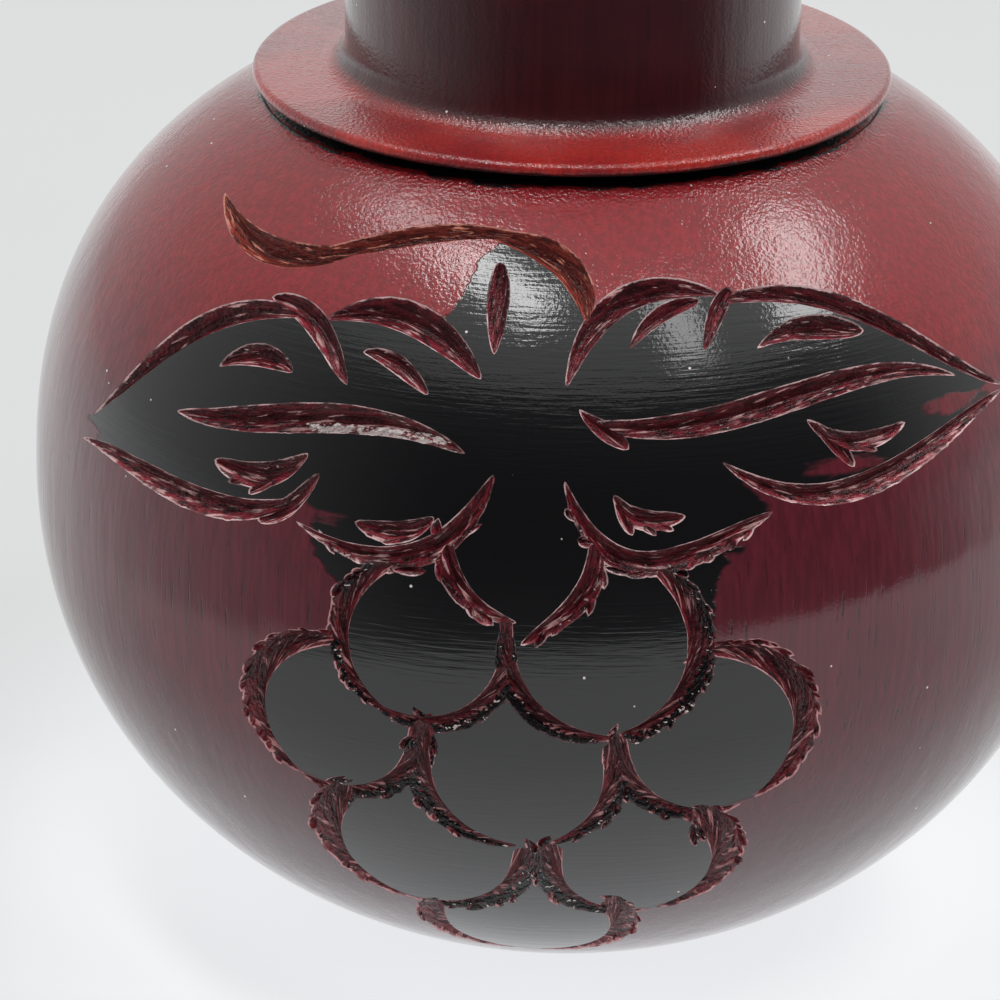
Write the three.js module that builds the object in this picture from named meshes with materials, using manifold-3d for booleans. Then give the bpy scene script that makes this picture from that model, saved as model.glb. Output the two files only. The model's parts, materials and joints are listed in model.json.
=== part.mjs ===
// A turned and carved wooden gourd bottle: a round hollow body with a collar and an open neck,
// and a vine tendril, two leaves and a bunch of grapes cut into its front with a V gouge.
// Millimetres, +Z up. The origin is at the middle of the flat foot, and the carving faces -Y.

import * as THREE from 'three';
import { mergeVertices } from 'three/addons/utils/BufferGeometryUtils.js';
import Module from 'manifold-3d';

const wasm = await Module();
wasm.setup();

// Body. Each half of its outline is a superellipse, and a fullness of 2 is a plain ellipse.
const bodyRadius = 60;
const crownRise = 50.9;
const crownFullness = 2.31;
const baseDrop = 54.9;
const baseFullness = 2.04;
const bodyWall = 8;

// Foot
const footRadius = 22;
const footRounding = 0.8;
const floorThickness = 9;

// Collar, and the groove that parts it from the shoulder
const collarRadius = 35.3;
const collarThickness = 1.5;
const collarOverhang = 0.8;
const grooveHeight = 1.4;
const grooveDepth = 2.6;

// Neck
const neckRadius = 25.1;
const neckWall = 6.5;
const neckHeight = 42;
const coveRadius = 3;
const flareHeight = 20;
const lipFlare = 2.2;
const lipRounding = 2;

// Carving. The depth of a cut follows a half wave from end to end, made fuller by a taper under 1
// and cut short by the run-out, so that the gouge leaves the wood at a clear point.
const gougeAngle = 80;
const cutterRise = 0.8;
const cutTaper = 0.6;
const runOut = 0.08;
const cutStep = 4;
const fewestSteps = 4;
const lookAhead = 0.01;

// Facets
const aroundBody = 60;
const crownSteps = 8;
const baseSteps = 8;
const insideSteps = 5;
const flareSteps = 3;
const arcSteps = 4;
const barSides = 3;

// Angles of a quarter and a half turn
const quarter = Math.PI / 2;
const half = Math.PI;

// A gouge cut runs between two places, given in degrees across and up the body from the middle
// of its front. Its two bows are how far, in degrees, it swings to the left of the straight way
// early and late on. Its width is in millimetres, and its swell is where it is widest, 0 to 1.
const tendrilCuts = [
  { from: [-47, 49.3], to: [-24, 43.1], bow: [-6.2, -5.2], width: 3.3, swell: 0.55 },
  { from: [-33, 41.4], to: [-3.4, 44.8], bow: [0.4, 4.5], width: 2.4, swell: 0.5 },
  { from: [-10.5, 45.8], to: [2.3, 35], bow: [3.7, 6.1], width: 3.3, swell: 0.55 },
  { from: [-7.8, 42.3], to: [-7.7, 31.9], bow: [0.3, 0], width: 2.3, swell: 0.4 },
];
const leftLeafCuts = [
  { from: [-60.7, 17.2], to: [-28.4, 34.6], bow: [1.5, 7.8], width: 2.5, swell: 0.6 },
  { from: [-34.4, 36.4], to: [-23.3, 27.7], bow: [3.6, 1.6], width: 2.6, swell: 0.45 },
  { from: [-26.8, 34.5], to: [-8.8, 29.3], bow: [5.5, 4], width: 3.6, swell: 0.5 },
  { from: [-22.1, 31.4], to: [-14.3, 27.5], bow: [1.7, 0.8], width: 1.9, swell: 0.5 },
  { from: [-39.6, 27.7], to: [-29.8, 28.4], bow: [2.2, 2.3], width: 2.5, swell: 0.55 },
  { from: [-44.7, 22], to: [-9.9, 21.8], bow: [-0.2, 5.7], width: 3.2, swell: 0.5 },
  { from: [-38.6, 17.8], to: [-26.9, 20.4], bow: [-2.5, -2.5], width: 2.7, swell: 0.45 },
  { from: [-33.9, 15], to: [-26.9, 20.4], bow: [-0.1, 0], width: 1.4, swell: 0.4 },
  { from: [-62.2, 14.4], to: [-27.2, 15.8], bow: [1.6, -6.2], width: 2.8, swell: 0.6 },
  { from: [-32.6, 12.4], to: [-25.5, 18.6], bow: [-1.3, -0.8], width: 1.9, swell: 0.4 },
  { from: [-28.5, 13.4], to: [-7.1, 20.2], bow: [-7.1, -8.8], width: 2.7, swell: 0.6 },
  { from: [-21.5, 14.1], to: [-13, 15.5], bow: [-1.6, -1.9], width: 2.3, swell: 0.5 },
];
const rightLeafCuts = [
  { from: [16.9, 38.6], to: [-0.1, 28.7], bow: [-6.9, -6.5], width: 3, swell: 0.45 },
  { from: [14.6, 38], to: [6.6, 32.8], bow: [-1.6, -1.6], width: 1.8, swell: 0.4 },
  { from: [18.3, 39.4], to: [14.5, 32.5], bow: [-0.8, -0.2], width: 1.8, swell: 0.4 },
  { from: [16.8, 37.8], to: [53.6, 24.7], bow: [8.6, 0.3], width: 2.3, swell: 0.35 },
  { from: [20.2, 32.3], to: [33.7, 33.6], bow: [2.7, 1.3], width: 2.8, swell: 0.6 },
  { from: [1.2, 26.8], to: [6.4, 22.7], bow: [-0.4, 0.2], width: 1.9, swell: 0.6 },
  { from: [2.6, 25.3], to: [45.7, 27.1], bow: [-3.6, 6.4], width: 2.9, swell: 0.4 },
  { from: [25.3, 24.9], to: [37.5, 23.2], bow: [-3.3, -2.4], width: 2, swell: 0.5 },
  { from: [25.3, 24.9], to: [30.7, 19.3], bow: [0.5, 0.4], width: 1.7, swell: 0.6 },
  { from: [53.4, 24.5], to: [15.8, 21.3], bow: [1.4, 11.4], width: 2.6, swell: 0.55 },
  { from: [21.4, 15.9], to: [-0.2, 19.9], bow: [4.8, 12.9], width: 2.7, swell: 0.5 },
  { from: [4.8, 18.4], to: [12.2, 16], bow: [-2.7, -1.4], width: 2.1, swell: 0.5 },
  { from: [4.8, 18.4], to: [6.8, 14.2], bow: [0, 0], width: 1.3, swell: 0.6 },
];
const stalkCuts = [
  { from: [-12.1, 14.6], to: [-4.4, 5.2], bow: [-3.4, -3.6], width: 2.4, swell: 0.35 },
  { from: [2.8, 14.4], to: [-4.3, 2.8], bow: [4.6, 1.8], width: 2.4, swell: 0.4 },
];

// Each grape is a circle in the same degrees. Its two cuts run down its sides, along arcs from
// one angle to another, counted from its right side over its top.
const grapes = [
  { x: -14.2, y: 2, radius: 8.8, cuts: [
    { arc: [106, 250], width: 2.4, swell: 0.4 },
    { arc: [385, 232], width: 2.3, swell: 0.45 }] },
  { x: 4.1, y: 2.4, radius: 9.8, cuts: [
    { arc: [160, 280], width: 2.5, swell: 0.45 },
    { arc: [62, -90], width: 2.9, swell: 0.4 }] },
  { x: -23.8, y: -8.3, radius: 9.3, cuts: [
    { arc: [84, 244], width: 3, swell: 0.45 },
    { arc: [372, 240], width: 2.6, swell: 0.25 }] },
  { x: 15.6, y: -8.2, radius: 9.9, cuts: [
    { arc: [98, -62], width: 3, swell: 0.45 },
    { arc: [172, 292], width: 2.6, swell: 0.25 }] },
  { x: -4.5, y: -12, radius: 10.2, cuts: [
    { arc: [150, 272], width: 3, swell: 0.25 },
    { arc: [24, -72], width: 2.8, swell: 0.25 }] },
  { x: -14.7, y: -24.7, radius: 11, cuts: [
    { arc: [136, 260], width: 3.6, swell: 0.2 },
    { arc: [372, 256], width: 3, swell: 0.25 }] },
  { x: 8.5, y: -25.7, radius: 9.7, cuts: [
    { arc: [56, -76], width: 3.6, swell: 0.25 },
    { arc: [156, 282], width: 3, swell: 0.25 }] },
  { x: -3.6, y: -39.3, radius: 11.2, cuts: [
    { arc: [160, 262], width: 3, swell: 0.2 },
    { arc: [38, -84], width: 3, swell: 0.2 }] },
];

// Points on one half of a body outline between two radii, as distances from the axis and from
// the body's middle.
function outline(radius, reach, fullness, firstRadius, lastRadius, steps) {
  const angleAt = (r) => Math.acos((r / radius) ** (fullness / 2));
  const first = angleAt(firstRadius);
  const last = angleAt(lastRadius);
  const points = [];
  for (let i = 0; i <= steps; i += 1) {
    const angle = first + (last - first) * i / steps;
    const x = radius * Math.cos(angle) ** (2 / fullness);
    const y = reach * Math.sin(angle) ** (2 / fullness);
    points.push(new THREE.Vector2(x, y));
  }
  return points;
}

// How far such an outline stands from the body's middle at a given radius.
function outlineHeight(radius, reach, fullness, r) {
  return reach * (1 - (r / radius) ** fullness) ** (1 / fullness);
}

// Points on a round corner between two angles.
function arc(x, y, radius, firstAngle, lastAngle) {
  const points = [];
  for (let i = 0; i <= arcSteps; i += 1) {
    const angle = firstAngle + (lastAngle - firstAngle) * i / arcSteps;
    points.push(new THREE.Vector2(x + radius * Math.cos(angle), y + radius * Math.sin(angle)));
  }
  return points;
}

const middle = outlineHeight(bodyRadius, baseDrop, baseFullness, footRadius);
const lipOfShoulder = collarRadius - collarOverhang;
const shoulderTop = middle + outlineHeight(bodyRadius, crownRise, crownFullness, lipOfShoulder);
const collarBottom = shoulderTop + grooveHeight;
const collarTop = collarBottom + collarThickness;
const lipTop = collarTop + neckHeight;
const lipOuter = neckRadius + lipFlare;
const flareBottom = lipTop - lipRounding - flareHeight;
const boreRadius = neckRadius - neckWall;
const floorTop = floorThickness;
const innerRadius = bodyRadius - bodyWall;
const innerRise = crownRise - bodyWall;
const innerDrop = baseDrop - bodyWall;
const innerFloor = innerRadius
  * (1 - ((middle - floorTop) / innerDrop) ** baseFullness) ** (1 / baseFullness);

// The outline of the whole bottle, up its outside and down its inside, from axis to axis.
function bottleProfile() {
  const up = (p) => new THREE.Vector2(p.x, middle + p.y);
  const down = (p) => new THREE.Vector2(p.x, middle - p.y);
  const profile = [new THREE.Vector2(0, 0)];

  // Foot and body
  profile.push(new THREE.Vector2(footRadius - footRounding, 0));
  const baseStart = footRadius + footRounding;
  const base = outline(bodyRadius, baseDrop, baseFullness, baseStart, bodyRadius, baseSteps);
  profile.push(...base.map(down));
  const crown = outline(bodyRadius, crownRise, crownFullness, bodyRadius, lipOfShoulder, crownSteps);
  profile.push(...crown.slice(1).map(up));

  // Groove and collar
  const grooveMiddle = shoulderTop + grooveHeight / 2;
  profile.push(new THREE.Vector2(lipOfShoulder - grooveDepth, grooveMiddle));
  const edge = collarThickness / 2;
  profile.push(...arc(collarRadius - edge, collarTop - edge, edge, -quarter, quarter));

  // Cove and neck
  const coveMiddle = neckRadius + coveRadius;
  profile.push(...arc(coveMiddle, collarTop + coveRadius, coveRadius, -quarter, -half));
  for (let i = 0; i <= flareSteps; i += 1) {
    const share = i / flareSteps;
    const flare = lipFlare * share ** 2;
    profile.push(new THREE.Vector2(neckRadius + flare, flareBottom + flareHeight * share));
  }
  const lipHeight = lipTop - lipRounding;
  profile.push(...arc(lipOuter - lipRounding, lipHeight, lipRounding, 0, quarter).slice(1));

  // Mouth, bore and inside of the body
  profile.push(...arc(boreRadius + lipRounding, lipHeight, lipRounding, quarter, half));
  const ceiling = outline(innerRadius, innerRise, crownFullness, boreRadius, innerRadius, insideSteps);
  profile.push(...ceiling.map(up));
  const bowl = outline(innerRadius, innerDrop, baseFullness, innerRadius, innerFloor, insideSteps);
  profile.push(...bowl.slice(1).map(down));
  profile.push(new THREE.Vector2(0, floorTop));
  return profile;
}

// A closed geometry as a solid: shared corners are merged and flat triangles are dropped.
function solidOf(geometry) {
  const bare = geometry.clone();
  bare.deleteAttribute('normal');
  bare.deleteAttribute('uv');
  const merged = mergeVertices(bare);
  const corners = [];
  const index = merged.index.array;
  for (let i = 0; i < index.length; i += 3) {
    const [a, b, c] = index.slice(i, i + 3);
    if (a !== b && b !== c && c !== a) {
      corners.push(a, b, c);
    }
  }
  return new wasm.Manifold(new wasm.Mesh({
    numProp: 3,
    vertProperties: new Float32Array(merged.attributes.position.array),
    triVerts: new Uint32Array(corners),
  }));
}

// The place on the body at degrees across and up from the middle of its front. The degrees are
// paced out along the surface in every direction, so shapes keep their proportions on it.
function onBody(across, up) {
  const turn = THREE.MathUtils.degToRad(Math.hypot(across, up));
  const heading = Math.atan2(up, across);
  const ray = new THREE.Vector3(
    Math.sin(turn) * Math.cos(heading), -Math.cos(turn), Math.sin(turn) * Math.sin(heading));
  const reach = ray.z > 0 ? crownRise : baseDrop;
  const fullness = ray.z > 0 ? crownFullness : baseFullness;
  const level = Math.hypot(ray.x, ray.y) / bodyRadius;
  const height = Math.abs(ray.z) / reach;
  const distance = (level ** fullness + height ** fullness) ** (-1 / fullness);
  return ray.multiplyScalar(distance).add(new THREE.Vector3(0, 0, middle));
}

// The direction square to the body's surface at a place on it.
function outwards(place) {
  const z = place.z - middle;
  const reach = z > 0 ? crownRise : baseDrop;
  const fullness = z > 0 ? crownFullness : baseFullness;
  const r = Math.hypot(place.x, place.y);
  const level = (r / bodyRadius) ** (fullness - 1) / bodyRadius;
  const height = Math.sign(z) * (Math.abs(z) / reach) ** (fullness - 1) / reach;
  return new THREE.Vector3(level * place.x / r, level * place.y / r, height).normalize();
}

// The line of a cut that bows between its two ends.
function bowedLine({ from, to, bow }) {
  const start = new THREE.Vector2(...from);
  const end = new THREE.Vector2(...to);
  const chord = end.clone().sub(start);
  const third = chord.clone().divideScalar(3);
  const left = new THREE.Vector2(-chord.y, chord.x).normalize();
  const early = start.clone().add(third).addScaledVector(left, bow[0]);
  const late = end.clone().sub(third).addScaledVector(left, bow[1]);
  return new THREE.CubicBezierCurve(start, early, late, end);
}

// The line of a cut that follows the side of a grape.
function grapeLine(grape, cut) {
  const [first, last] = cut.arc.map(THREE.MathUtils.degToRad);
  return new THREE.EllipseCurve(
    grape.x, grape.y, grape.radius, grape.radius, first, last, last < first);
}

// The wood that a V gouge takes out along a line: a bar with three sides, one of them flat above
// the surface, swept over the body so that it sinks in and comes out again at its ends.
function gougeCut(line, width, swell) {
  const placeAt = (t) => onBody(...line.getPoint(THREE.MathUtils.clamp(t, 0, 1)).toArray());
  const halfway = placeAt(1 / 2);
  const length = placeAt(0).distanceTo(halfway) + halfway.distanceTo(placeAt(1));
  const steps = Math.max(fewestSteps, Math.ceil(length / cutStep));
  const slope = Math.tan(THREE.MathUtils.degToRad(gougeAngle / 2));
  const deepest = width / 2 / slope;
  const swellPower = Math.log(1 / 2) / Math.log(swell);
  const bar = new THREE.CylinderGeometry(1, 1, 1, barSides, steps).translate(0, 1 / 2, 0);
  const halfSide = Math.sin(half / barSides);
  const flatSide = -Math.cos(half / barSides);
  const corner = bar.attributes.position;
  for (let i = 0; i < corner.count; i += 1) {
    const t = corner.getY(i);
    const place = placeAt(t);
    const normal = outwards(place);
    const along = placeAt(t + lookAhead).sub(placeAt(t - lookAhead));
    const side = new THREE.Vector3().crossVectors(normal, along).normalize();
    const bite = (1 + runOut) * Math.sin(half * t ** swellPower) ** cutTaper - runOut;
    const depth = cutterRise + deepest * bite;
    const across = corner.getX(i) / halfSide * depth * slope;
    const sunk = (corner.getZ(i) - flatSide) / (1 - flatSide) * depth;
    place.addScaledVector(side, across).addScaledVector(normal, cutterRise - sunk);
    corner.setXYZ(i, place.x, place.y, place.z);
  }
  return solidOf(bar);
}

// The bottle with every cut taken out of it.
function carvedBottle() {
  const turned = new THREE.LatheGeometry(bottleProfile(), aroundBody).rotateX(quarter);
  const cuts = [...tendrilCuts, ...leftLeafCuts, ...rightLeafCuts, ...stalkCuts]
    .map((cut) => gougeCut(bowedLine(cut), cut.width, cut.swell));
  for (const grape of grapes) {
    cuts.push(...grape.cuts.map((cut) => gougeCut(grapeLine(grape, cut), cut.width, cut.swell)));
  }
  let bottle = solidOf(turned);
  for (const cut of cuts) {
    bottle = bottle.subtract(cut);
  }
  const { vertProperties, triVerts } = bottle.getMesh();
  const geometry = new THREE.BufferGeometry();
  geometry.setAttribute('position', new THREE.BufferAttribute(vertProperties, 3));
  geometry.setIndex(new THREE.BufferAttribute(triVerts, 1));
  geometry.computeVertexNormals();
  return geometry;
}

const lacquer = new THREE.MeshStandardMaterial({ color: 0x5e1a22, roughness: 0.18, metalness: 0 });
const gourdBottle = new THREE.Mesh(carvedBottle(), lacquer);
gourdBottle.name = 'gourd_bottle';

const model = new THREE.Group();
model.add(gourdBottle);

export default model;
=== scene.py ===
# The carved gourd bottle: lacquer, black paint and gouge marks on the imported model.
# The bottle is made in millimetres and scaled to metres at the end.
import json
import math
import random

import bmesh
import bpy
import numpy as np
from mathutils import Euler, Matrix, Vector, noise

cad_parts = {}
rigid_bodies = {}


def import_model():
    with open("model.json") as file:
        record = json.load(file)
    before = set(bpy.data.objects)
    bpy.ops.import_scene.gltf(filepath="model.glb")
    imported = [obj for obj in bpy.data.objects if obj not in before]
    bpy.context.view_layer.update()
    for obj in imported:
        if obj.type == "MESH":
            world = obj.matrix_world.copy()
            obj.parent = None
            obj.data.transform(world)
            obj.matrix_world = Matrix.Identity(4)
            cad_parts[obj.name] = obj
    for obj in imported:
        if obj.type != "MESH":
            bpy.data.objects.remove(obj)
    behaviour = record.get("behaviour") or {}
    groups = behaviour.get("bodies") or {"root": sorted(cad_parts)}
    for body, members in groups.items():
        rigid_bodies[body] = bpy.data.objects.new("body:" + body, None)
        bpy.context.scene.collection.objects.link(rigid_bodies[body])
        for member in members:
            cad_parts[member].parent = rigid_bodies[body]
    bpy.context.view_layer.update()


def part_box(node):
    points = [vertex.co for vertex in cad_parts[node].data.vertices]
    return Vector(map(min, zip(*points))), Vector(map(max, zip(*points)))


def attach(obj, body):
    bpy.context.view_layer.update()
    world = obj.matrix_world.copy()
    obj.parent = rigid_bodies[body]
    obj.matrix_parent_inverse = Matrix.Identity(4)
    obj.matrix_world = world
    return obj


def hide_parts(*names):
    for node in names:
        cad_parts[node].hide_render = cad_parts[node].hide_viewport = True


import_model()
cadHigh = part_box("gourd_bottle")[1]
mm = 0.001
tiny = 1e-9  # keeps a division off zero


# The turned bottle

bottle = dict(
    radius=cadHigh[0] / mm, height=cadHigh[2] / mm,
    crownRise=50.9, crownFullness=2.31,  # the body is a superellipse above and below its middle
    baseDrop=54.9, baseFullness=2.04,
    wall=8, floor=9,
    footRadius=22, footRounding=0.8,
    collarRadius=35.3, collarThickness=1.5, collarOverhang=0.8,
    grooveHeight=1.4, grooveDepth=2.6,
    bead=0.4, beadShape=((1, -1 / 3), (0, 1 / 4), (-1, -1 / 4)),  # along the shoulder's lip, out and up
    neckRadius=25.1, neckWall=6.5, coveRadius=3,
    flareHeight=20, lipFlare=2.2, lipRounding=2,
    around=180, bodyRings=46, insideRings=18, cornerRings=6, neckRings=20, weld=0.001,
)


def outlineHeight(radius, reach, fullness, r):
    return reach * (1 - (r / radius) ** fullness) ** (1 / fullness)


def outline(radius, reach, fullness, firstRadius, lastRadius, rings):
    first, last = (math.acos((r / radius) ** (fullness / 2)) for r in (firstRadius, lastRadius))
    angles = [first + (last - first) * i / rings for i in range(rings + 1)]
    return [(radius * math.cos(a) ** (2 / fullness), reach * math.sin(a) ** (2 / fullness))
            for a in angles]


def corner(x, z, radius, first, last, rings=bottle["cornerRings"]):
    angles = [math.radians(first + (last - first) * i / rings) for i in range(rings + 1)]
    return [(x + radius * math.cos(a), z + radius * math.sin(a)) for a in angles]


middle = outlineHeight(bottle["radius"], bottle["baseDrop"], bottle["baseFullness"], bottle["footRadius"])
shoulderLip = bottle["collarRadius"] - bottle["collarOverhang"]
shoulderTop = middle + outlineHeight(
    bottle["radius"], bottle["crownRise"], bottle["crownFullness"], shoulderLip)
collarTop = shoulderTop + bottle["grooveHeight"] + bottle["collarThickness"]
boreRadius = bottle["neckRadius"] - bottle["neckWall"]


def bottleProfile():
    b = bottle
    radius, wall = b["radius"], b["wall"]

    def fromMiddle(points, side):
        return [(r, middle + side * z) for r, z in points]

    points = [(0, 0), (b["footRadius"] / 2, 0), (b["footRadius"] - b["footRounding"], 0)]
    points += fromMiddle(outline(radius, b["baseDrop"], b["baseFullness"],
                                 b["footRadius"] + b["footRounding"], radius, b["bodyRings"]), -1)
    points += fromMiddle(outline(radius, b["crownRise"], b["crownFullness"],
                                 radius, shoulderLip, b["bodyRings"]), 1)[1:]
    points[-1:] = [(shoulderLip + b["bead"] * out, shoulderTop + b["bead"] * up)
                   for out, up in b["beadShape"]]
    points.append((shoulderLip - b["grooveDepth"], shoulderTop + b["grooveHeight"] / 2))
    edge = b["collarThickness"] / 2
    points += corner(b["collarRadius"] - edge, collarTop - edge, edge, -90, 90)
    cove = b["coveRadius"]
    points += corner(b["neckRadius"] + cove, collarTop + cove, cove, -90, -180)
    lipHeight = b["height"] - b["lipRounding"]
    neckStart = collarTop + cove
    for i in range(1, b["neckRings"] + 1):
        z = neckStart + (lipHeight - neckStart) * i / b["neckRings"]
        flare = max(0, 1 - (lipHeight - z) / b["flareHeight"])
        points.append((b["neckRadius"] + b["lipFlare"] * flare ** 2, z))
    lipCentre = b["neckRadius"] + b["lipFlare"] - b["lipRounding"]
    points += corner(lipCentre, lipHeight, b["lipRounding"], 0, 90)[1:]
    points += corner(boreRadius + b["lipRounding"], lipHeight, b["lipRounding"], 90, 180)
    inner, rise, drop = radius - wall, b["crownRise"] - wall, b["baseDrop"] - wall
    points += fromMiddle(outline(inner, rise, b["crownFullness"], boreRadius, inner, b["insideRings"]), 1)
    fullness = b["baseFullness"]
    floorAt = inner * (1 - ((middle - b["floor"]) / drop) ** fullness) ** (1 / fullness)
    points += fromMiddle(outline(inner, drop, fullness, inner, floorAt, b["insideRings"]), -1)[1:]
    points.append((0, b["floor"]))
    return points


def turnBottle():
    bm = bmesh.new()
    bm.loops.layers.uv.new("way")
    line = [bm.verts.new((r, 0, z)) for r, z in bottleProfile()]
    edges = [bm.edges.new(pair) for pair in zip(line, line[1:])]
    bmesh.ops.spin(bm, geom=line + edges, cent=(0, 0, 0), axis=(0, 0, 1), angle=math.tau,
                   steps=bottle["around"], use_merge=True, use_duplicate=False)
    bmesh.ops.remove_doubles(bm, verts=bm.verts, dist=bottle["weld"])
    bmesh.ops.recalc_face_normals(bm, faces=bm.faces)
    return asObject(bm, "gourdBottle", finishes)


def asObject(bm, name, slots, collection=None):
    mesh = bpy.data.meshes.new(name)
    bm.to_mesh(mesh)
    bm.free()
    for finish in slots:
        mesh.materials.append(finish)
    made = bpy.data.objects.new(name, mesh)
    (collection or bpy.context.scene.collection).objects.link(made)
    return made


# The carving. Places are degrees across and up the body from the middle of its front, paced out
# along the surface, and a bow is how far a cut swings to its left early and late on.

# from, to, bow, width in millimetres, where it is widest, and how ragged its left (+) or right (-) is
tendrilCuts = [
    ((-47, 49.3), (-24, 43.1), (-6.2, -5.2), 3.3, 0.55, 0),
    ((-33, 41.4), (-3.4, 44.8), (0.4, 4.5), 2.4, 0.5, 0),
    ((-10.5, 45.8), (2.3, 35), (3.7, 6.1), 3.3, 0.55, 0),
]
leafCuts = [
    ((-7.8, 42.3), (-7.7, 31.9), (0.3, 0), 2.3, 0.4, 0),  # the stem between the leaves
    ((-60.7, 17.2), (-28.4, 34.6), (1.5, 9.6), 2.8, 0.66, 0),  # left leaf, from its tip
    ((-34.4, 36.4), (-23.3, 27.7), (3.6, 1.6), 2.6, 0.45, 0),
    ((-26.8, 34.5), (-8.8, 29.3), (5.5, 4), 3.6, 0.5, 0.3),
    ((-22.1, 31.4), (-14.3, 27.5), (1.7, 0.8), 1.9, 0.5, 0.3),
    ((-39.6, 27.7), (-29.8, 28.4), (2.2, 2.3), 2.5, 0.55, 0.6),
    ((-44.7, 22), (-9.9, 21.8), (-0.2, 5.7), 3.2, 0.5, -0.3),
    ((-38.6, 17.8), (-26.9, 20.4), (-2.5, -2.5), 2.7, 0.45, 0.4),
    ((-33.9, 15), (-26.9, 20.4), (-0.1, 0), 1.4, 0.4, 0.4),
    ((-36.6, 15.8), (-27.8, 19.7), (-0.6, -0.5), 1.2, 0.4, 0),
    ((-62.2, 14.4), (-27.2, 15.8), (1.6, -6.2), 2.8, 0.6, -0.55),
    ((-32.6, 12.4), (-25.5, 18.6), (-1.3, -0.8), 1.9, 0.4, 0.4),
    ((-28.5, 13.4), (-7.1, 20.2), (-7.1, -8.8), 2.7, 0.6, -1),
    ((-21.5, 14.1), (-13, 15.5), (-1.6, -1.9), 2.3, 0.5, 0.4),
    ((-18.5, 12.3), (-13.3, 15), (-0.2, -0.1), 1.3, 0.4, 0),
    ((-20.4, 13), (-14, 14.9), (-0.7, -0.5), 1.1, 0.4, 0),
    ((16.9, 38.6), (-0.1, 28.7), (-6.9, -6.5), 3, 0.45, 0),  # right leaf, from its stem end
    ((14.6, 38), (6.6, 32.8), (-1.6, -1.6), 1.8, 0.4, 0),
    ((18.3, 39.4), (14.5, 32.5), (-0.8, -0.2), 1.8, 0.4, 0),
    ((16.8, 37.8), (53.6, 24.7), (8.6, 0.3), 2.3, 0.35, 0),
    ((20.2, 32.3), (33.7, 33.6), (2.7, 1.3), 2.8, 0.6, 0.5),
    ((1.2, 26.8), (6.4, 22.7), (-0.4, 0.2), 1.9, 0.6, 0),
    ((2.6, 25.3), (45.7, 27.1), (-3.6, 6.4), 2.9, 0.4, -0.3),
    ((25.3, 24.9), (37.5, 23.2), (-3.3, -2.4), 2, 0.5, 0.4),
    ((25.3, 24.9), (30.7, 19.3), (0.5, 0.4), 1.7, 0.6, 0),
    ((26.4, 23.6), (33.6, 20.6), (0.1, 0.3), 1.3, 0.6, 0),
    ((27.4, 23.2), (36, 22), (-0.9, -0.6), 1.1, 0.6, 0),
    ((53.4, 24.5), (15.8, 21.3), (1.4, 11.4), 2.6, 0.55, 0.55),
    ((21.4, 15.9), (-0.2, 19.9), (4.8, 12.9), 2.7, 0.5, 1),
    ((4.8, 18.4), (12.2, 16), (-2.7, -1.4), 2.1, 0.5, 0.4),
    ((4.8, 18.4), (6.8, 14.2), (0, 0), 1.3, 0.6, 0),
    ((5.2, 17.7), (9.2, 14.1), (0, 0.2), 1.2, 0.6, 0),
    ((5.6, 17.3), (11, 14.6), (-0.4, -0.2), 1.1, 0.6, 0),
    ((-12.1, 14.6), (-4.4, 5.2), (-3.4, -3.6), 2.4, 0.35, -1),  # the two stalks of the bunch
    ((2.8, 14.4), (-4.3, 2.8), (4.6, 1.8), 2.4, 0.4, 1),
]

# Each grape: its middle, its radius, and its two cuts as first and last angle, width, swell and
# how thickly its outer edge is feathered
grapes = [
    ((-14.2, 2), 8.8, [(106, 250, 2.4, 0.4, 0.6), (385, 232, 2.3, 0.45, 0)]),
    ((4.1, 2.4), 9.8, [(160, 280, 2.5, 0.45, 0), (62, -90, 2.9, 0.4, 0.5)]),
    ((-23.8, -8.3), 9.3, [(84, 244, 3, 0.45, 1), (372, 240, 2.6, 0.25, 0.3)]),
    ((15.6, -8.2), 9.9, [(98, -62, 3, 0.45, 1), (172, 292, 2.6, 0.25, 0.3)]),
    ((-4.5, -12), 10.2, [(150, 272, 3, 0.25, 0.3), (24, -72, 2.8, 0.25, 0.3)]),
    ((-14.7, -24.7), 11, [(136, 260, 3.6, 0.2, 0.8), (372, 256, 3, 0.25, 0.3)]),
    ((8.5, -25.7), 9.7, [(56, -76, 3.6, 0.25, 0.8), (156, 282, 3, 0.25, 0.3)]),
    ((-3.6, -39.3), 11.2, [(160, 262, 3, 0.2, 0.7), (38, -84, 3, 0.2, 0.7)]),
]

# Fans of strokes where the cuts of the grapes meet or start: place, heading, spread, length, count
fans = [
    ((-13.9, -6.2), 267, 12, 6.5, 8), ((5.4, -6.4), 273, 12, 6.5, 8), ((-2.2, -21.6), 270, 12, 8, 10),
    ((-21.8, -16.4), 236, 22, 6, 9), ((13.5, -17.2), 304, 22, 6, 9),
    ((-13.6, -34.8), 236, 20, 4.4, 6), ((5, -32), 304, 20, 4.4, 6),
]

gouge = dict(
    angle=80, rise=0.8, taper=0.6, runOut=0.08,
    step=0.42, points=13, fewest=12, measureSteps=8,
    bottom=0.1,  # rounding of the V, as a share of its half width
    wander=0.05, wanderPace=0.5, ridge=0.07, ridgePace=0.12, ridgeCount=6,
    tear=0.3, tearLift=0.3, raggedFrom=0.1, raggedOver=0.5,  # how ragged walls tear, and where
    bites=((1, 1.15, 1.6, 9), (0.5, 2.7, 3, 5)),  # size, pace along and across, and shift of each
    tornShare=0.3, seedReach=500,
)
stroke = dict(
    spacing=0.95, length=3.3, width=1.05, slant=24, overshoot=0.45, past=0.15, swell=0.6,
    leafShare=0.3, leafLength=0.95,  # how dense and how long they are on the leaves
    points=5, stations=6, shallowest=0.45,
    spacingSpread=(0.5, 1.5), lengthSpread=(0.55, 1.3), widthSpread=(0.6, 1.25),
    slantSpread=(0.4, 1.5), overshootSpread=(-0.6, 1),
)
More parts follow.
